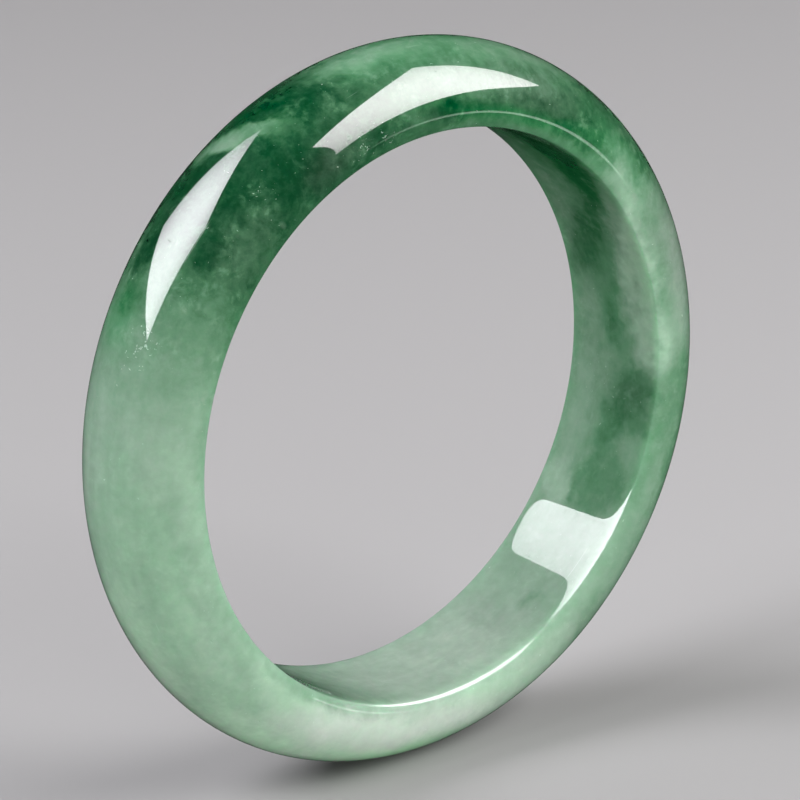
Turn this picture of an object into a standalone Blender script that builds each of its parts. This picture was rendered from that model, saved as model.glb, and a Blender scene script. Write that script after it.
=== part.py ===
"""Jadeite bangle bracelet: one seamless ring, ground and polished from a single piece of stone.

The ring is on edge, with its axis along Y, +Z up and its origin at its centre. Units are metres.
Its section is the classic D: a flat inner wall that eases outwards near its two ends, a half-ellipse
dome outside, and a small corner where the two meet. The crest of each rim is a narrow flat land,
which the bangle lies on when it is put down flat.
"""

import math

import bpy

# Driving dimensions.
INNER_DIAMETER = 0.057
BAR_WIDTH = 0.0135  # along the ring's axis
BAR_THICKNESS = 0.0076  # from the middle of the inner wall to the top of the dome
EASE_RISE = 0.00026  # how far the inner wall has eased outwards where it reaches a rim
EASE_POWER = 12  # how late it does so: the higher, the flatter the wall's middle
CORNER_RISE = 0.00075  # radial size of the corner between the inner wall and a rim's land
CORNER_DEPTH = 0.0005  # axial size of the same corner
LAND_WIDTH = 0.0006  # radial width of the flat crest of each rim

# Fineness of the solid.
RING_STEPS = 108
DOME_STEPS = 20
CORNER_STEPS = 4
EASE_STEPS = 4  # in the eased stretch of the wall next to each corner
EASE_START = 0.7  # where that stretch starts, as a share of the half width

# Worked out from the dimensions above.
INNER_RADIUS = INNER_DIAMETER / 2
HALF_WIDTH = BAR_WIDTH / 2
LAND_INNER_RADIUS = INNER_RADIUS + EASE_RISE + CORNER_RISE
LAND_OUTER_RADIUS = LAND_INNER_RADIUS + LAND_WIDTH
DOME_HEIGHT = INNER_RADIUS + BAR_THICKNESS - LAND_OUTER_RADIUS

# Polished jadeite: a mid green between the stone's pale and deep zones.
JADE_COLOUR = (0.19, 0.40, 0.26, 1.0)
JADE_ROUGHNESS = 0.08
JADE_IOR = 1.66

SCREW_MERGE = 1e-6  # well under the shortest edge of the profile


def clear_scene():
    """Removes every object of the scene that the script starts in."""
    for old in list(bpy.data.objects):
        bpy.data.objects.remove(old, do_unlink=True)


def dome_points():
    """The outer half-ellipse, from the top rim's land down to the bottom rim's."""
    points = []
    for step in range(DOME_STEPS + 1):
        turn = math.pi * step / DOME_STEPS
        radius = LAND_OUTER_RADIUS + DOME_HEIGHT * math.sin(turn)
        points.append((radius, HALF_WIDTH * math.cos(turn)))
    return points


def wall_radius(height):
    """The inner wall's radius at a height above the ring's middle plane."""
    return INNER_RADIUS + EASE_RISE * (height / HALF_WIDTH) ** EASE_POWER


def ease_points():
    """The eased stretch of the inner wall below the top corner, going up."""
    first = EASE_START * HALF_WIDTH
    last = HALF_WIDTH - CORNER_DEPTH
    heights = [first + (last - first) * step / EASE_STEPS for step in range(EASE_STEPS)]
    return [(wall_radius(height), height) for height in heights]


def corner_points():
    """The top corner's quarter-ellipse, from the inner wall's end out to the land."""
    points = []
    for step in range(CORNER_STEPS + 1):
        turn = math.pi / 2 * step / CORNER_STEPS
        height = HALF_WIDTH - CORNER_DEPTH * (1 - math.sin(turn))
        points.append((wall_radius(height) + CORNER_RISE * (1 - math.cos(turn)), height))
    return points


def section_profile():
    """The closed D section as (radius, height) pairs, running down its outer side."""
    top_edge = ease_points() + corner_points()
    bottom_edge = [(radius, -height) for radius, height in reversed(top_edge)]
    return dome_points() + bottom_edge + top_edge


def jade_material():
    """Polished green jadeite, as one plain colour."""
    material = bpy.data.materials.new("jade")
    material.use_nodes = True
    shader = material.node_tree.nodes["Principled BSDF"]
    shader.inputs["Base Color"].default_value = JADE_COLOUR
    shader.inputs["Roughness"].default_value = JADE_ROUGHNESS
    shader.inputs["Metallic"].default_value = 0.0
    shader.inputs["IOR"].default_value = JADE_IOR
    material.diffuse_color = JADE_COLOUR
    return material


def turned_ring(name, profile, material, collection):
    """A closed profile turned once about the object's own Z axis."""
    mesh = bpy.data.meshes.new(name)
    points = [(radius, 0.0, height) for radius, height in profile]
    edges = [(index, (index + 1) % len(points)) for index in range(len(points))]
    mesh.from_pydata(points, edges, [])
    mesh.materials.append(material)
    ring = bpy.data.objects.new(name, mesh)
    collection.objects.link(ring)
    screw = ring.modifiers.new("turn", "SCREW")
    screw.axis = "Z"
    screw.angle = 2 * math.pi
    screw.steps = RING_STEPS
    screw.render_steps = RING_STEPS
    screw.use_merge_vertices = True
    screw.merge_threshold = SCREW_MERGE
    screw.use_smooth_shade = True
    return ring


def main():
    clear_scene()
    collection = bpy.data.collections.new("bangle_bracelet")
    bpy.context.scene.collection.children.link(collection)
    ring = turned_ring("jade_ring", section_profile(), jade_material(), collection)
    ring.rotation_euler = (math.pi / 2, 0.0, 0.0)  # stands the turned ring on its edge


main()
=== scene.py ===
"""Looks of the jadeite bangle: a finely polished ring of cloudy, translucent green stone.

The ring replaces the CAD solid at the same size. Units are metres; the ring's axis is Y and its
centre is the origin. Angles round the ring start at +X and rise towards +Z.
"""

import math

import bpy
from mathutils import Matrix, Vector


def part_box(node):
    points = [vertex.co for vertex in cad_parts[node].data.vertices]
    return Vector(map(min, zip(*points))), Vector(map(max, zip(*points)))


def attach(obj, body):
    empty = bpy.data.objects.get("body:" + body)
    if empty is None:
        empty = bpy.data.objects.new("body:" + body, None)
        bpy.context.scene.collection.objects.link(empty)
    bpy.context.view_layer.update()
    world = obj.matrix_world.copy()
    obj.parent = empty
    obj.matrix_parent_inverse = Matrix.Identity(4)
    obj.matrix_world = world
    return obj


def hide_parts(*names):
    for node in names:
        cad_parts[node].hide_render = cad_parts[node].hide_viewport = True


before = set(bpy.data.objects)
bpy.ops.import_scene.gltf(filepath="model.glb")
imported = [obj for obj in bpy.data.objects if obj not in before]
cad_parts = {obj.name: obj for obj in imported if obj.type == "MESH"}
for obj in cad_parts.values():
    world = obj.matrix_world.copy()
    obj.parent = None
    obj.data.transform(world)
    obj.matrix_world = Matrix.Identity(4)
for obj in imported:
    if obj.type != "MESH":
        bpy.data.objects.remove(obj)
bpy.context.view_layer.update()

# Sizes of the ring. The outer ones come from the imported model, and the rest are the CAD's own.
NODE = "jade_ring"
NODE_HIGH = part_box(NODE)[1]
OUTER_RADIUS = NODE_HIGH.z
HALF_WIDTH = NODE_HIGH.y
BAR_THICKNESS = 0.0076
INNER_RADIUS = OUTER_RADIUS - BAR_THICKNESS
EASE_RISE = 0.00026  # how far the inner wall has eased outwards where it reaches a rim
EASE_POWER = 12  # how late it does so: the higher, the flatter the wall's middle
CORNER_RISE = 0.00075  # radial size of the corner between the inner wall and a rim's land
CORNER_DEPTH = 0.0005  # axial size of the same corner
LAND_WIDTH = 0.0006  # radial width of the land, which the looks round into the corner
CREST_RADIUS = INNER_RADIUS + EASE_RISE + CORNER_RISE + LAND_WIDTH
DOME_HEIGHT = OUTER_RADIUS - CREST_RADIUS

# Fineness of the ring's mesh.
RING_STEPS = 540
DOME_STEPS = 64
CORNER_STEPS = 20
WALL_STEPS = 36

# Camera.
CAMERA_AZIMUTH = math.radians(-40.06)
CAMERA_ELEVATION = math.radians(19.42)
CAMERA_DISTANCE = 0.41395
CAMERA_SHIFT_RIGHT = 0.000104
CAMERA_SHIFT_UP = 0.000253
CAMERA_CLIP = (0.01, 20)
SENSOR_WIDTH = 36.0
LENS = 192.26

# Studio. A softbox lights the stone, and a face is what shows of it in the stone's polish. The fill
# card is a softbox with no face, and the rim card is a face with no softbox.
FLOOR_SIZE = 6.0
FLOOR_COLOUR = (0.30, 0.30, 0.30, 1)
FLOOR_ROUGHNESS = 0.6
FLOOR_SPECULAR = 0.1
WORLD_COLOUR = (0.80, 0.90, 1.0, 1)
WORLD_STRENGTH = 0.03
BACK_STAND = {"place": (-0.468, 0.213, 0.615), "aim": (0.673, -0.665, -0.325), "roll": -1.94}
BACK_SOFTBOX = {**BACK_STAND, "size": (0.848, 0.637), "power": 12.8, "colour": (0.99, 0.96, 1.0)}
BACK_FACE = {**BACK_STAND, "colour": (0.97, 0.94, 1.0, 1), "strength": 9.1,
             "corners": [(-0.424, -0.3185), (0.424, -0.3185), (0.424, 0.3185), (-0.424, 0.3185)],
             "middle": (0.05, -0.08), "fall": (2.5, 1.6)}
FRONT_PLACE = (0.449, -0.472, 0.466)
FRONT_SOFTBOX = {"place": FRONT_PLACE, "aim": (-0.413, 0.482, -0.773), "roll": 0.0,
                 "size": (0.80, 0.578), "power": 10.2, "colour": (1.0, 0.98, 0.97)}
FRONT_FACE = {"place": FRONT_PLACE, "right": (0.558, 0.805, 0.203), "up": (-0.720, 0.347, 0.601),
              "colour": (0.98, 0.91, 0.95, 1), "strength": 8.7,
              "corners": [(-0.285, 0.289), (-0.45, -0.289), (0.40, -0.289), (0.40, 0.289)],
              "middle": (0.01, 0.02), "fall": (2.7, 1.0)}
FILL_CARD = {"place": (-0.22, -0.56, 0.03), "aim": (0.37, 0.93, -0.06), "roll": 0.0,
             "size": (0.60, 0.12), "power": 3.2, "colour": (1.0, 1.0, 0.97)}
RIM_CARD = {"place": (0.264, -0.284, -0.070), "right": (0.732, 0.681, 0), "up": (-0.17, 0.183, 0.968),
            "colour": (0.9, 1.0, 0.92, 1), "strength": 2.2,
            "corners": [(-0.045, -0.014), (0.03, -0.014), (0.03, 0.014), (-0.045, 0.014)],
            "middle": (0.005, 0.0), "fall": (400.0, 1500.0)}

# Tones of the stone, from 0.2, deep emerald, to 0.8, pale. Each is (degrees round the ring, tone).
DOME_TONES = [(0, 0.50), (20, 0.47), (40, 0.40), (60, 0.37), (75, 0.44), (90, 0.44), (101, 0.38),
              (110, 0.31), (122, 0.26), (134, 0.29), (143, 0.37), (150, 0.46), (160, 0.53), (170, 0.60),
              (185, 0.63), (205, 0.65), (228, 0.67), (250, 0.73), (275, 0.71), (292, 0.66), (306, 0.60),
              (322, 0.54), (342, 0.52), (360, 0.50)]
WALL_TONES = [(0, 0.51), (18, 0.47), (40, 0.52), (60, 0.47), (90, 0.38), (120, 0.30), (145, 0.38),
              (165, 0.53), (200, 0.60), (240, 0.56), (262, 0.64), (285, 0.64), (305, 0.60), (322, 0.57),
              (335, 0.53), (350, 0.52), (360, 0.51)]

# The stone's colour at each tone. Tones between them have colours between theirs.
TONE_COLOURS = [(0.20, (0.004, 0.038, 0.014)), (0.24, (0.005, 0.046, 0.016)), (0.30, (0.016, 0.071, 0.031)),
                (0.40, (0.048, 0.133, 0.069)), (0.50, (0.114, 0.218, 0.139)), (0.60, (0.220, 0.325, 0.247)),
                (0.70, (0.335, 0.456, 0.360)), (0.82, (0.480, 0.640, 0.500))]

# Soft patches on the dome: (angle, section angle, length, width, tilt, edge, level, strength). Angles
# are in degrees, and the section angle is 0 at the rim at +Y, 90 at the top and 180 at the rim at -Y.
# The length is round the ring and the width across it, in millimetres. A patch pulls the tone towards
# its level by its strength, and does so in full from edge of the way in to its middle. Most patches are
# the stone's own tone; the one marked below also paints light into it.
DOME_TONE_AND_PAINTED_LIGHT_PATCHES = [
    (139, 79, 22, 4.6, 0, 0.7, 0.24, 0.9),
    (151, 88, 7, 6, 0, 0.9, 0.41, 0.7),
    (114, 84, 9, 5, -41, 0.8, 0.24, 0.9),
    (110, 112, 8, 5, -25, 0.8, 0.25, 0.9),
    (122, 140, 8, 8, 0, 0.7, 0.22, 0.9),
    (130, 130, 11, 4.5, -10, 0.8, 0.25, 0.85),
    (136, 160, 11, 6, 0, 0.9, 0.38, 0.8),
    (140, 134, 7, 6, 0, 0.7, 0.26, 0.8),
    (112, 170, 9, 6, 0, 0.8, 0.30, 0.85),
    (121.5, 92, 12, 3.3, -41, 0.6, 0.48, 0.95),
    (126.5, 68, 6, 4.5, -45, 0.8, 0.47, 0.8),
    (118, 114, 5, 4, -20, 0.9, 0.42, 0.7),
    (124.5, 82, 5, 3.4, -45, 0.8, 0.56, 0.8),
    (96, 97, 22, 9, 0, 0.8, 0.55, 0.9),
    (75, 110, 22, 8, 0, 0.9, 0.55, 0.8),
    (62, 118, 16, 7, 0, 0.9, 0.53, 0.7),
    (96, 174, 4, 3, 0, 0.9, 0.46, 0.7),
    (89, 176, 10, 4, 0, 0.8, 0.25, 0.85),
    (80, 175, 9, 3.5, 0, 0.9, 0.30, 0.7),
    (102, 179, 8, 4, 0, 0.9, 0.27, 0.8),
    (67, 171, 14, 4, 0, 0.9, 0.32, 0.85),
    (22, 174, 34, 5.0, 0, 0.9, 0.52, 0.9),
    (54, 143, 11, 6, 35, 0.8, 0.33, 0.8),
    (64, 146, 6, 4, 0, 0.9, 0.46, 0.7),
    (38, 150, 7, 6, 0, 0.9, 0.37, 0.6),
    (57, 164, 14, 7, 0, 0.9, 0.32, 0.8),
    (22, 152, 16, 7, 0, 0.9, 0.52, 0.7),
    (7, 173, 15, 5, 0, 0.8, 0.57, 0.8),
    (358, 155, 9, 5, 0, 0.9, 0.44, 0.6),
    (342, 152, 24, 5, 0, 0.9, 0.45, 0.6),
    (332, 178, 16, 3, 0, 0.9, 0.58, 0.7),
    (308, 155, 14, 6, 0, 0.9, 0.49, 0.6),
    (205, 174, 44, 6, 0, 0.9, 0.55, 0.5),
    # Pale stone on the lower left of the dome, lifted further by a painted reflection.
    (212, 92, 60, 9, 0, 0.9, 0.76, 0.8),
    (236, 116, 24, 9, 0, 0.9, 0.80, 0.7),
    (258, 135, 24, 8, 0, 0.9, 0.82, 0.7),
    (250, 172, 22, 6, 0, 0.9, 0.74, 0.7),
]

# The same on the inner wall, where y in millimetres stands in place of the section angle. Besides
# the stone's own tone, two patches paint light and one paints shade; each is marked.
WALL_TONE_AND_PAINTED_LIGHT_AND_SHADE_PATCHES = [
    (50, -2.0, 36, 9, 0, 0.7, 0.35, 0.9),
    (24, 1.6, 20, 6, 28, 0.8, 0.36, 0.9),
    (45, 4.4, 34, 7, 0, 0.8, 0.50, 0.85),
    (4, 0.2, 8, 4, 0, 0.8, 0.43, 0.8),
    (5, 3.2, 10, 7, 0, 0.9, 0.54, 0.7),
    (348, -3.0, 13, 8, 0, 0.5, 0.42, 0.9),
    (339, -4.5, 8, 6.5, 0, 0.7, 0.56, 0.85),
    (330, -1.5, 9, 9.5, 0, 0.4, 0.49, 0.9),
    (340, -0.3, 12, 3.5, 0, 0.9, 0.43, 0.7),
    (340, 3.8, 24, 6, 0, 0.8, 0.57, 0.8),
    (329, 3.8, 9, 5.5, 0, 0.7, 0.64, 0.8),
    # Pale stone near the -Y rim, made paler still by these two: painted light that lifts the shade falling
    # on this part of the wall.
    (22, -4.8, 38, 7.5, 8, 0.8, 0.69, 0.95),
    (3, -5.6, 12, 6, 0, 0.7, 0.67, 0.95),
    (37, -5.2, 11, 4, 15, 0.8, 0.58, 0.8),
    (303, -2.6, 4, 4, 0, 0.9, 0.48, 0.7),
    (296, 1.0, 7, 6, 0, 0.9, 0.56, 0.5),
    # Painted shade: a darker crescent low on the wall, where shade falls.
    (243, -1.5, 10, 11, 0, 0.9, 0.50, 0.8),
]

# How green the stone is for its tone: 1 is as in TONE_COLOURS, and less is greyer.
DOME_GREEN_PATCHES = [
    (195, 110, 66, 24, 0, 0.6, 1.22, 1.0),
    (18, 158, 28, 9, 0, 0.9, 0.62, 1.0),
    (232, 120, 46, 20, 0, 0.9, 1.22, 1.0),
    (266, 134, 40, 8, 0, 0.8, 1.50, 1.0),
    (50, 165, 26, 9, 0, 0.9, 1.20, 1.0),
    (258, 176, 46, 8, 0, 0.8, 0.42, 1.0),
    (88, 100, 60, 12, 0, 0.9, 1.25, 1.0),
    (117, 95, 16, 13, -30, 0.9, 1.13, 1.0),
    (155, 80, 10, 8, 0, 0.9, 1.30, 1.0),
    (137, 160, 14, 8, 0, 0.9, 0.92, 1.0),
    (115, 170, 12, 6, 0, 0.9, 0.80, 1.0),
    (68, 162, 22, 7, 0, 0.9, 0.85, 1.0),
    (72, 187, 46, 2.6, 0, 0.9, 1.30, 1.0),
    (345, 165, 26, 6, 0, 0.9, 1.10, 1.0),
]
WALL_GREEN_PATCHES = [
    (278, 0, 60, 26, 0, 0.8, 0.80, 1.0),
    (50, -1, 40, 18, 0, 0.8, 1.38, 1.0),
    (338, -5, 18, 6, 0, 0.9, 1.2, 1.0),
    (12, -2, 34, 14, 0, 0.9, 1.25, 1.0),
    (335, -1, 26, 14, 0, 0.9, 1.20, 1.0),
]

# Where pale flecks, and pits in the polish, lie close together: 0 is few or none, and 1 is thick.
DOME_FLECK_PATCHES = [
    (158, 114, 8, 6, 0, 0.9, 1.5, 1.0),
    (106, 175, 11, 4.5, 0, 0.9, 1.4, 1.0),
    (127, 143, 14, 6, 0, 0.9, 0.55, 1.0),
]
DOME_PIT_PATCHES = [
    (107, 168, 9, 6, 0, 0.9, 1.0, 1.0),
]
PATCH_DEPTH = 0.0035  # how far a patch goes into the stone, and out of it
MM_PER_METRE = 1000

# Clouding. A scale is in features per metre, and a warp is its scale and how far it pushes, in
# metres. A pair of amounts is for pale stone and for deep stone.
ZONE_WARPS = [(130, 0.0026), (420, 0.0024), (1300, 0.0007)]
RAGGED_NOISE = {"scale": 420, "detail": 3, "roughness": 0.55}
RAGGED_SPREAD = 1.6  # how much that noise moves the edges of the patches
WALL_DEPTHS = (0.0003, 0.0022)  # out from the inner wall, where its tones give way to the dome's
WALL_GAIN = 0.55  # strength of the clouding on the inner wall, where it is 1 on the dome
DEEP_TONES = (0.58, 0.30)  # where stone starts to count as deep, and where it fully does
CLOUD_NOISE = {"scale": 260, "detail": 5, "roughness": 0.62}
CLOUD_AMOUNTS = (0.09, 0.18)
STREAK_SCALES = (70, 900)  # round the ring and across it
STREAK_DETAIL = 3
STREAK_AMOUNT = 0.06
COTTON_WARP = (350, 0.0014)
COTTON_NOISE = {"scale": 780, "detail": 4, "roughness": 0.66}
COTTON_AMOUNTS = (0.08, 0.27)
WISP_NOISE = {"scale": 1150, "detail": 3, "roughness": 0.55}
WISP_LEVELS = (0.45, 0.75)  # of the noise, where a wisp starts and where it is full
WISP_AMOUNTS = (0.02, 0.11)
THICK_NOISE = {"scale": 330, "detail": 1}
THICK_LEVELS = (0.38, 0.62)  # of the noise, where there start to be wisps and where they are thick
GREEN_WARP = (130, 0.004)
GREEN_BASE = 1.03  # how green the stone is for its tone outside the patches

# Flecks, needles and pits. They are the spots where a noise is above the rarity.
SPECK_NOISE = {"detail": 1, "roughness": 0.5, "distortion": 0.8}
SPECK_CROWDING = 0.12  # how far a crowd of 1 raises that noise
SPECK_EDGE = 0.06  # how far above the rarity a spot is full
FLECK_WARP = (300, 0.002)
FLECK_SCALE = 3300
FLECK_RARITY = 0.765
FLECK_COLOUR = (0.62, 0.78, 0.68, 1)
FLECK_AMOUNT = 0.4
CLUMP_NOISE = {"scale": 700, "detail": 1}
CLUMP_SPREAD = 2.4  # this and the shift turn that noise into how thickly flecks lie in a clump
CLUMP_SHIFT = -0.5
NEEDLE_SCALES = (110, 1500)  # round the ring and across it
NEEDLE_CROWD = 0.15
NEEDLE_RARITY = 0.79
NEEDLE_STRENGTH = 0.4  # where it is 1 for a fleck
PIT_SCALE = 2900
PIT_RARITY = 0.77
PIT_DEPTH = 0.00002

# Polish and translucency.
POLISH_NOISE = {"scale": 500, "detail": 3}
POLISH_LEVELS = (0.3, 0.8)  # of the noise, between which the roughness rises
ROUGHNESSES = (0.015, 0.035)
JADE_SHADER = {"IOR": 1.66, "Specular IOR Level": 0.72, "Subsurface Weight": 1.0,
               "Subsurface Scale": 0.005, "Subsurface Radius": (0.5, 1.0, 0.65)}

# A noise's middle value, and the Mix node's sockets for numbers and for colours.
NOISE_MIDDLE = 0.5
NUMBER_LOW, NUMBER_HIGH, NUMBER_RESULT = 2, 3, 0
COLOUR_LOW, COLOUR_HIGH, COLOUR_RESULT = 6, 7, 2


def dome_points():
    """The outer half-ellipse, from the rim at +Y to the rim at -Y, as (radius, y) pairs."""
    points = []
    for step in range(DOME_STEPS + 1):
        turn = math.pi * step / DOME_STEPS
        points.append((CREST_RADIUS + DOME_HEIGHT * math.sin(turn), HALF_WIDTH * math.cos(turn)))
    return points


def wall_radius(y):
    """The inner wall's radius, which eases outwards near the two rims."""
    return INNER_RADIUS + EASE_RISE * (y / HALF_WIDTH) ** EASE_POWER


def corner_points():
    """The corner at +Y, from the inner wall's end out to the rim's crest, without the crest.

    Polishing has rounded the land into the corner, so the two are one quarter-ellipse.
    """
    points = []
    for step in range(CORNER_STEPS):
        turn = math.pi / 2 * step / CORNER_STEPS
        y = HALF_WIDTH - CORNER_DEPTH * (1 - math.sin(turn))
        points.append((wall_radius(y) + (CORNER_RISE + LAND_WIDTH) * (1 - math.cos(turn)), y))
    return points


def wall_points():
    """The inner wall between its two corners, from -Y to +Y, without its ends."""
    end = HALF_WIDTH - CORNER_DEPTH
    heights = [end * (2 * step / WALL_STEPS - 1) for step in range(1, WALL_STEPS)]
    return [(wall_radius(y), y) for y in heights]


def section_profile():
    """The closed D section, down its outer side, across the -Y rim and up the inner wall."""
    top = corner_points()
    bottom = [(radius, -y) for radius, y in reversed(top)]
    return dome_points() + bottom + wall_points() + top


def ring_mesh(name, profile):
    """The section turned once about Y, as quads with their faces pointing out."""
    count = len(profile)
    vertices = []
    for step in range(RING_STEPS):
        angle = 2 * math.pi * step / RING_STEPS
        for radius, y in profile:
            vertices.append((radius * math.cos(angle), y, radius * math.sin(angle)))
    faces = []
    for step in range(RING_STEPS):
        here = step * count
        ahead = (step + 1) % RING_STEPS * count
        for index in range(count):
            after = (index + 1) % count
            faces.append((here + index, ahead + index, ahead + after, here + after))
    mesh = bpy.data.meshes.new(name)
    mesh.from_pydata(vertices, [], faces)
    mesh.shade_smooth()
    return mesh


def fill(tree, node, inputs):
    """Sets or links a node's inputs."""
    for socket, value in inputs.items():
        if isinstance(value, bpy.types.NodeSocket):
            tree.links.new(value, node.inputs[socket])
        else:
            node.inputs[socket].default_value = value


def add(tree, kind, inputs, **settings):
    """A new node of one kind, with its settings and its inputs."""
    node = tree.nodes.new(kind)
    for name, value in settings.items():
        setattr(node, name, value)
    fill(tree, node, inputs)
    return node


def maths(tree, operation, *values, clamp=False):
    """The result of a math node."""
    inputs = dict(enumerate(values))
    return add(tree, "ShaderNodeMath", inputs, operation=operation, use_clamp=clamp).outputs[0]


def vector_maths(tree, operation, *values):
    """The vector result of a vector math node."""
    return add(tree, "ShaderNodeVectorMath", dict(enumerate(values)), operation=operation).outputs[0]


def noise_node(tree, place, scale=1.0, detail=2.0, roughness=0.5, distortion=0.0):
    """A noise texture node at a place."""
    return add(tree, "ShaderNodeTexNoise", {"Vector": place, "Scale": scale, "Detail": detail,
                                            "Roughness": roughness, "Distortion": distortion})


def noise(tree, place, **settings):
    """A noise's value at a place, from about 0 to 1."""
    return noise_node(tree, place, **settings).outputs[0]


def smooth_range(tree, value, start, end, low=0.0, high=1.0):
    """A value carried smoothly from low, at start, to high, at end."""
    return add(tree, "ShaderNodeMapRange", {"Value": value, "From Min": start, "From Max": end,
                                            "To Min": low, "To Max": high},
               interpolation_type="SMOOTHSTEP").outputs[0]


def ramp(tree, value, stops):
    """The colour of a ramp at a value, where stops are (position, colour or grey level)."""
    node = add(tree, "ShaderNodeValToRGB", {0: value})
    elements = node.color_ramp.elements
    for index, (position, colour) in enumerate(stops):
        if index < len(elements):
            element = elements[index]
            element.position = position
        else:
            element = elements.new(position)
        if not isinstance(colour, tuple):
            colour = (colour, colour, colour)
        element.color = (*colour, 1)
    return node.outputs[0]


def blend(tree, factor, low, high):
    """One number that goes from low to high with a factor."""
    return add(tree, "ShaderNodeMix", {0: factor, NUMBER_LOW: low, NUMBER_HIGH: high},
               data_type="FLOAT").outputs[NUMBER_RESULT]


def blend_colour(tree, factor, low, high):
    """One colour that goes from low to high with a factor."""
    return add(tree, "ShaderNodeMix", {0: factor, COLOUR_LOW: low, COLOUR_HIGH: high},
               data_type="RGBA").outputs[COLOUR_RESULT]


def warp(tree, place, scale, reach):
    """A place pushed about by noise, by up to about half of reach."""
    colour = noise_node(tree, place, scale=scale).outputs["Color"]
    push = vector_maths(tree, "SUBTRACT", colour, (NOISE_MIDDLE, NOISE_MIDDLE, NOISE_MIDDLE))
    return vector_maths(tree, "MULTIPLY_ADD", push, (reach, reach, reach), place)


def patch_group():
    """The node group that pulls a number towards a level inside one soft ellipsoid.

    Ragged is about 1, and its ups and downs make the ellipsoid's edge cloudy.
    """
    group = bpy.data.node_groups.new("soft_patch", "ShaderNodeTree")
    face = group.interface
    for name in ("Coordinates", "Place", "Turn", "Size"):
        face.new_socket(name, in_out="INPUT", socket_type="NodeSocketVector")
    for name in ("Ragged", "Edge", "Level", "Strength", "Base"):
        face.new_socket(name, in_out="INPUT", socket_type="NodeSocketFloat")
    face.new_socket("Value", in_out="OUTPUT", socket_type="NodeSocketFloat")
    given = group.nodes.new("NodeGroupInput").outputs
    local = add(group, "ShaderNodeMapping", {"Vector": given["Coordinates"], "Location": given["Place"],
                                             "Rotation": given["Turn"], "Scale": given["Size"]},
                vector_type="TEXTURE").outputs[0]
    ball = add(group, "ShaderNodeTexGradient", {"Vector": local}, gradient_type="SPHERICAL").outputs[1]
    ball = maths(group, "MULTIPLY", ball, given["Ragged"])
    inside = smooth_range(group, ball, 0.0, given["Edge"])
    factor = maths(group, "MULTIPLY", inside, given["Strength"])
    add(group, "NodeGroupOutput", {"Value": blend(group, factor, given["Base"], given["Level"])})
    return group


def surface_turn(angle, across, tilt):
    """The turn of a patch on the ring's surface, as Euler angles.

    Its X runs round the ring, and its Z along the surface's normal, which leans by across from the
    ring's radius towards +Y. The tilt, in degrees, turns it about that normal. The other two angles
    are in radians.
    """
    along = Vector((-math.sin(angle), 0, math.cos(angle)))
    radial = Vector((math.cos(angle), 0, math.sin(angle)))
    normal = radial * math.cos(across) + Vector((0, math.sin(across), 0))
    frame_axes = Matrix((along, normal.cross(along), normal)).transposed()
    return tuple((frame_axes @ Matrix.Rotation(math.radians(tilt), 3, "Z")).to_euler())


def add_patch(tree, group, field, value, place, turn, shape):
    """A number after one patch has pulled at it. The field is (coordinates, ragged)."""
    length, width, edge, level, strength = shape
    size = (length / MM_PER_METRE / 2, width / MM_PER_METRE / 2, PATCH_DEPTH)
    inputs = {"Coordinates": field[0], "Ragged": field[1], "Base": value, "Place": place, "Turn": turn,
              "Size": size, "Edge": edge, "Level": level, "Strength": strength}
    return add(tree, "ShaderNodeGroup", inputs, node_tree=group).outputs["Value"]


def add_dome_patches(tree, group, field, value, patches):
    """A number after a list of patches on the dome has pulled at it."""
    for angle, section, length, width, tilt, *shape in patches:
        angle = math.radians(angle)
        section = math.radians(section)
        radius = CREST_RADIUS + DOME_HEIGHT * math.sin(section)
        place = (radius * math.cos(angle), HALF_WIDTH * math.cos(section), radius * math.sin(angle))
        across = math.atan2(math.cos(section) / HALF_WIDTH, math.sin(section) / DOME_HEIGHT)
        value = add_patch(tree, group, field, value, place, surface_turn(angle, across, tilt),
                          (length, width, *shape))
    return value


def add_wall_patches(tree, group, field, value, patches):
    """A number after a list of patches on the inner wall has pulled at it."""
    for angle, y, length, width, tilt, *shape in patches:
        angle = math.radians(angle)
        place = (INNER_RADIUS * math.cos(angle), y / MM_PER_METRE, INNER_RADIUS * math.sin(angle))
        value = add_patch(tree, group, field, value, place, surface_turn(angle, 0, tilt),
                          (length, width, *shape))
    return value


def tone_stops(tones):
    """Ramp stops for tones round the ring, from -180 to 180 degrees."""
    stops = [((angle - 180) / 360, tone) for angle, tone in tones if angle >= 180]
    stops += [((angle + 180) / 360, tone) for angle, tone in tones if 0 < angle <= 180]
    seam = (stops[0][1] + stops[-1][1]) / 2
    return [(0.0, seam)] + [stop for stop in stops if 0 < stop[0] < 1] + [(1.0, seam)]


def ring_position(tree, place):
    """How far round the ring a place is, from 0 to 1, and how much it is the dome's, not the wall's."""
    parts = add(tree, "ShaderNodeSeparateXYZ", {0: place}).outputs
    angle = maths(tree, "ARCTAN2", parts["Z"], parts["X"])
    share = maths(tree, "MULTIPLY_ADD", angle, 1 / (2 * math.pi), 0.5)
    squares = maths(tree, "MULTIPLY_ADD", parts["X"], parts["X"],
                    maths(tree, "MULTIPLY", parts["Z"], parts["Z"]))
    radius = maths(tree, "SQRT", squares)
    start, end = (INNER_RADIUS + depth for depth in WALL_DEPTHS)
    return share, smooth_range(tree, radius, start, end)


def stretched(tree, place, around, across):
    """A place scaled so that a pattern is drawn out round the ring, in features per metre."""
    return vector_maths(tree, "MULTIPLY", place, (around, across, around))


def specks(tree, place, crowd, rarity, scale=1.0):
    """Small ragged spots where a fine noise is high. A larger crowd value makes more of them."""
    fine = noise(tree, place, scale=scale, **SPECK_NOISE)
    level = maths(tree, "MULTIPLY_ADD", crowd, SPECK_CROWDING, fine)
    return smooth_range(tree, level, rarity, rarity + SPECK_EDGE)


def add_centred(tree, value, texture, amount):
    """A number plus a noise's value about its middle, times an amount."""
    return maths(tree, "MULTIPLY_ADD", maths(tree, "SUBTRACT", texture, NOISE_MIDDLE), amount, value)


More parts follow.
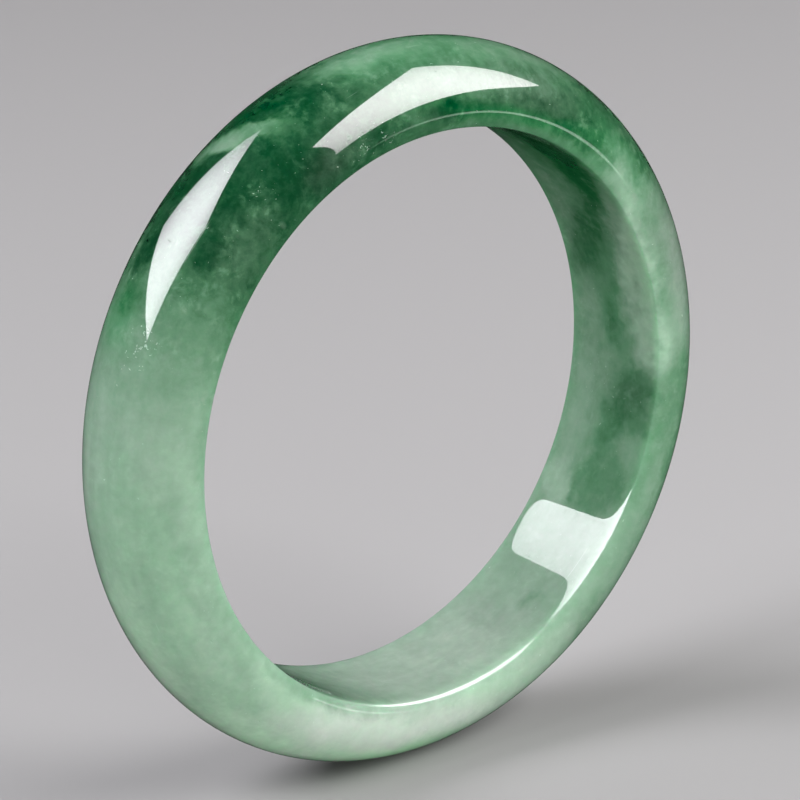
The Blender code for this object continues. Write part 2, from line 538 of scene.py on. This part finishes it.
def zone_tone(tree, place, group):
    """The tone of the zones and patches at a place, some of which paint light or shade, and how much the
    place is the dome's.
    """
    bent = place
    for scale, reach in ZONE_WARPS:
        bent = warp(tree, bent, scale, reach)
    ragged = noise(tree, place, **RAGGED_NOISE)
    field = (bent, maths(tree, "MULTIPLY_ADD", ragged, RAGGED_SPREAD, 1 - RAGGED_SPREAD * NOISE_MIDDLE))
    share, outside = ring_position(tree, bent)
    tone = blend(tree, outside, ramp(tree, share, tone_stops(WALL_TONES)),
                 ramp(tree, share, tone_stops(DOME_TONES)))
    tone = add_wall_patches(tree, group, field, tone, WALL_TONE_AND_PAINTED_LIGHT_AND_SHADE_PATCHES)
    tone = add_dome_patches(tree, group, field, tone, DOME_TONE_AND_PAINTED_LIGHT_PATCHES)
    return tone, outside


def stone_tone_and_painted_light(tree, place, group):
    """The stone's tone at a place, with the light and shade some patches paint into it: its zones and
    patches, clouded, streaked and full of threads.
    """
    tone, outside = zone_tone(tree, place, group)
    deep = smooth_range(tree, tone, *DEEP_TONES)
    gain = blend(tree, outside, WALL_GAIN, 1.0)
    deep_gain = maths(tree, "MULTIPLY", gain, deep)
    cloud = noise(tree, place, **CLOUD_NOISE)
    tone = add_centred(tree, tone, cloud, blend(tree, deep_gain, *CLOUD_AMOUNTS))
    streak = noise(tree, stretched(tree, place, *STREAK_SCALES), detail=STREAK_DETAIL)
    tone = add_centred(tree, tone, streak, maths(tree, "MULTIPLY", gain, STREAK_AMOUNT))
    curled = warp(tree, place, *COTTON_WARP)
    cotton = noise(tree, curled, **COTTON_NOISE)
    tone = add_centred(tree, tone, cotton, blend(tree, deep_gain, *COTTON_AMOUNTS))
    wisps = smooth_range(tree, noise(tree, curled, **WISP_NOISE), *WISP_LEVELS)
    thick = smooth_range(tree, noise(tree, place, **THICK_NOISE), *THICK_LEVELS)
    wisps = maths(tree, "MULTIPLY", wisps, thick)
    return maths(tree, "MULTIPLY_ADD", wisps, blend(tree, deep_gain, *WISP_AMOUNTS), tone)


def stone_green(tree, place, group):
    """How green the stone is for its tone at a place."""
    field = (warp(tree, place, *GREEN_WARP), 1.0)
    green = add_dome_patches(tree, group, field, GREEN_BASE, DOME_GREEN_PATCHES)
    return add_wall_patches(tree, group, field, green, WALL_GREEN_PATCHES)


def stone_flecks(tree, place, group):
    """Pale mineral flecks, which are few except in some patches, and fine needles."""
    field = (warp(tree, place, *FLECK_WARP), 1.0)
    crowd = add_dome_patches(tree, group, field, 0.0, DOME_FLECK_PATCHES)
    clump = maths(tree, "MULTIPLY_ADD", noise(tree, place, **CLUMP_NOISE), CLUMP_SPREAD, CLUMP_SHIFT)
    flecks = specks(tree, place, maths(tree, "MULTIPLY", clump, crowd), FLECK_RARITY, FLECK_SCALE)
    needles = specks(tree, stretched(tree, place, *NEEDLE_SCALES), NEEDLE_CROWD, NEEDLE_RARITY)
    return maths(tree, "MAXIMUM", flecks, maths(tree, "MULTIPLY", needles, NEEDLE_STRENGTH))


def stone_colour(tree, place, group):
    """The stone's colour at a place, with the light and shade painted into its tone."""
    colour = ramp(tree, stone_tone_and_painted_light(tree, place, group), TONE_COLOURS)
    green = stone_green(tree, place, group)
    colour = add(tree, "ShaderNodeHueSaturation", {"Color": colour, "Saturation": green}).outputs[0]
    flecks = maths(tree, "MULTIPLY", stone_flecks(tree, place, group), FLECK_AMOUNT)
    return blend_colour(tree, flecks, colour, FLECK_COLOUR)


def pitted_normal(tree, place, group):
    """The surface's direction at a place, with the few pits in the polish."""
    crowd = add_dome_patches(tree, group, (place, 1.0), 0.0, DOME_PIT_PATCHES)
    pits = specks(tree, place, crowd, PIT_RARITY, PIT_SCALE)
    return add(tree, "ShaderNodeBump", {"Strength": 1.0, "Distance": PIT_DEPTH, "Height": pits},
               invert=True).outputs[0]


def jade_material():
    """Polished green jadeite, pale in places and deep emerald in others."""
    material = bpy.data.materials.new("jade")
    material.use_nodes = True
    tree = material.node_tree
    place = add(tree, "ShaderNodeTexCoord", {}).outputs["Object"]
    group = patch_group()
    polish = noise(tree, place, **POLISH_NOISE)
    fill(tree, tree.nodes["Principled BSDF"],
         {"Base Color": stone_colour(tree, place, group),
          "Normal": pitted_normal(tree, place, group),
          "Roughness": smooth_range(tree, polish, *POLISH_LEVELS, *ROUGHNESSES),
          **JADE_SHADER})
    return material


def make_ring():
    """The polished ring, which stands for the CAD's."""
    ring = bpy.data.objects.new("polished_ring", ring_mesh("polished_ring", section_profile()))
    bpy.context.scene.collection.objects.link(ring)
    ring.data.materials.append(jade_material())
    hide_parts(NODE)
    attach(ring, "root")


def make_camera():
    """The scene's camera, looking down at the ring from its left."""
    right = Vector((math.cos(CAMERA_AZIMUTH), math.sin(CAMERA_AZIMUTH), 0))
    level = math.cos(CAMERA_ELEVATION)
    back = Vector((math.sin(CAMERA_AZIMUTH) * level, -math.cos(CAMERA_AZIMUTH) * level,
                   math.sin(CAMERA_ELEVATION)))
    up = back.cross(right)
    data = bpy.data.cameras.new("camera")
    data.sensor_width = SENSOR_WIDTH
    data.lens = LENS
    data.clip_start, data.clip_end = CAMERA_CLIP
    camera = bpy.data.objects.new("camera", data)
    turn = Matrix((right, up, back)).transposed().to_4x4()
    place = back * CAMERA_DISTANCE + right * CAMERA_SHIFT_RIGHT + up * CAMERA_SHIFT_UP
    camera.matrix_world = Matrix.Translation(place) @ turn
    bpy.context.scene.collection.objects.link(camera)
    bpy.context.scene.camera = camera


def aimed(aim, roll):
    """The rotation of a light that shines along aim, turned round that line by roll degrees."""
    turn = Vector(aim).to_track_quat("-Z", "Y").to_matrix()
    return turn @ Matrix.Rotation(math.radians(roll), 3, "Z")


def make_softbox(name, place, aim, roll, size, power, colour):
    """A rectangular area light, which lights the stone but isn't seen in its polish."""
    data = bpy.data.lights.new(name, "AREA")
    data.shape = "RECTANGLE"
    data.size, data.size_y = size
    data.energy = power
    data.color = colour
    light = bpy.data.objects.new(name, data)
    light.matrix_world = Matrix.Translation(place) @ aimed(aim, roll).to_4x4()
    light.visible_glossy = False
    bpy.context.scene.collection.objects.link(light)


def make_face(name, place, axes, corners, colour, strength, middle, fall):
    """A flat glowing card that is seen only in the stone's polish.

    It is brightest at its middle, and its glow falls off with the square of the distance from it,
    by fall for each metre squared along the card's two axes.
    """
    mesh = bpy.data.meshes.new(name)
    mesh.from_pydata([(*corner, 0) for corner in corners], [], [tuple(range(len(corners)))])
    glow = bpy.data.materials.new(name)
    glow.use_nodes = True
    tree = glow.node_tree
    tree.nodes.clear()
    spot = add(tree, "ShaderNodeTexCoord", {}).outputs["Object"]
    offset = vector_maths(tree, "SUBTRACT", spot, (*middle, 0))
    squares = vector_maths(tree, "MULTIPLY", offset, offset)
    lost = add(tree, "ShaderNodeVectorMath", {0: squares, 1: (*fall, 0)},
               operation="DOT_PRODUCT").outputs["Value"]
    level = maths(tree, "MULTIPLY", maths(tree, "SUBTRACT", 1.0, lost, clamp=True), strength)
    light = add(tree, "ShaderNodeEmission", {"Color": colour, "Strength": level})
    add(tree, "ShaderNodeOutputMaterial", {"Surface": light.outputs[0]})
    mesh.materials.append(glow)
    face = bpy.data.objects.new(name, mesh)
    face.matrix_world = Matrix.Translation(place) @ axes.to_4x4()
    face.visible_camera = False
    face.visible_diffuse = False
    face.visible_transmission = False
    face.visible_volume_scatter = False
    face.visible_shadow = False
    bpy.context.scene.collection.objects.link(face)


def make_aimed_face(name, place, aim, roll, **glow):
    """A glowing card that faces the same way as a light aimed along aim."""
    make_face(name, place, aimed(aim, roll), **glow)


def make_turned_face(name, place, right, up, **glow):
    """A glowing card whose own X runs along right, and its Y along up."""
    axes = Matrix((right, up, Vector(right).cross(Vector(up)))).transposed()
    make_face(name, place, axes, **glow)


def make_floor():
    """A plain pale floor, which the ring's outer wall touches."""
    half = FLOOR_SIZE / 2
    corners = [(-half, -half, 0), (half, -half, 0), (half, half, 0), (-half, half, 0)]
    mesh = bpy.data.meshes.new("floor")
    mesh.from_pydata(corners, [], [(0, 1, 2, 3)])
    floor = bpy.data.objects.new("floor", mesh)
    floor.location.z = -OUTER_RADIUS
    paint = bpy.data.materials.new("pale_floor")
    paint.use_nodes = True
    fill(paint.node_tree, paint.node_tree.nodes["Principled BSDF"],
         {"Base Color": FLOOR_COLOUR, "Roughness": FLOOR_ROUGHNESS, "Specular IOR Level": FLOOR_SPECULAR})
    mesh.materials.append(paint)
    floor.visible_glossy = False
    bpy.context.scene.collection.objects.link(floor)


def make_world():
    """Dim, slightly cool light from all round."""
    world = bpy.data.worlds.new("studio")
    world.use_nodes = True
    fill(world.node_tree, world.node_tree.nodes["Background"],
         {"Color": WORLD_COLOUR, "Strength": WORLD_STRENGTH})
    bpy.context.scene.world = world
    world.cycles_visibility.glossy = False


make_camera()
make_softbox("back_softbox", **BACK_SOFTBOX)
make_aimed_face("back_face", **BACK_FACE)
make_softbox("front_softbox", **FRONT_SOFTBOX)
make_turned_face("front_face", **FRONT_FACE)
make_softbox("fill_card", **FILL_CARD)
make_turned_face("rim_card", **RIM_CARD)
make_floor()
make_world()
make_ring()
bpy.context.scene.view_settings.view_transform = "Standard"
